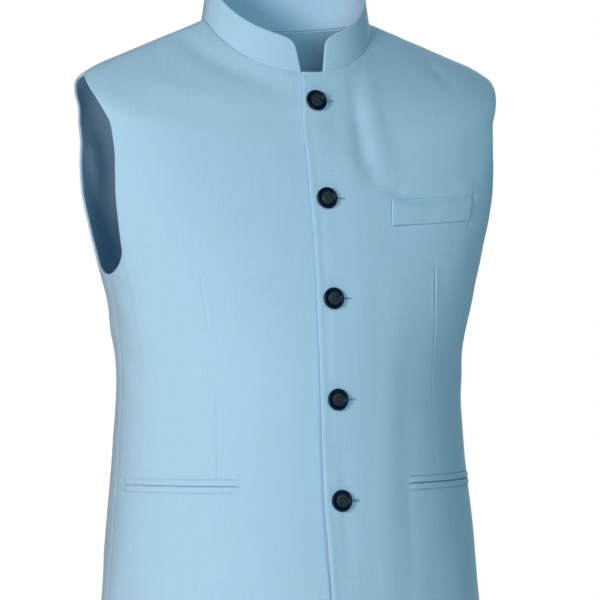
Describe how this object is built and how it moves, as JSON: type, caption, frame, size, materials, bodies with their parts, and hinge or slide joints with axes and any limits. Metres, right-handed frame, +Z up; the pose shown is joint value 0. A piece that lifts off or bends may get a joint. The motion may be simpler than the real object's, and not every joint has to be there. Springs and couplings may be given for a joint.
{
  "type": "nehru jacket",
  "caption": "Sleeveless nehru jacket with a band collar, buttoned lapped front, chest welt and jetted hip pockets, holding its worn, hollow form.",
  "frame": {"origin": "midway between the neck points of the shoulder seams, where the wearer's shoulders hold the jacket", "axes": "+Z up, the front faces -Y, the wearer's left side is +X"},
  "size_m": [0.4556, 0.275, 0.7311],
  "materials": {
    "cloth": "smooth light sky-blue suiting with a faint sheen",
    "button": "dark navy, satin, with a raised rim"
  },
  "bodies": {
    "root": {"front_left": "cloth", "front_right": "cloth", "back_left": "cloth", "back_right": "cloth", "collar": "cloth", "chest_welt": "cloth", "hip_jet_upper_left": "cloth", "hip_jet_lower_left": "cloth", "hip_jet_upper_right": "cloth", "hip_jet_lower_right": "cloth", "button_1": "button", "button_2": "button", "button_3": "button", "button_4": "button", "button_5": "button"}
  },
  "joints": []
}
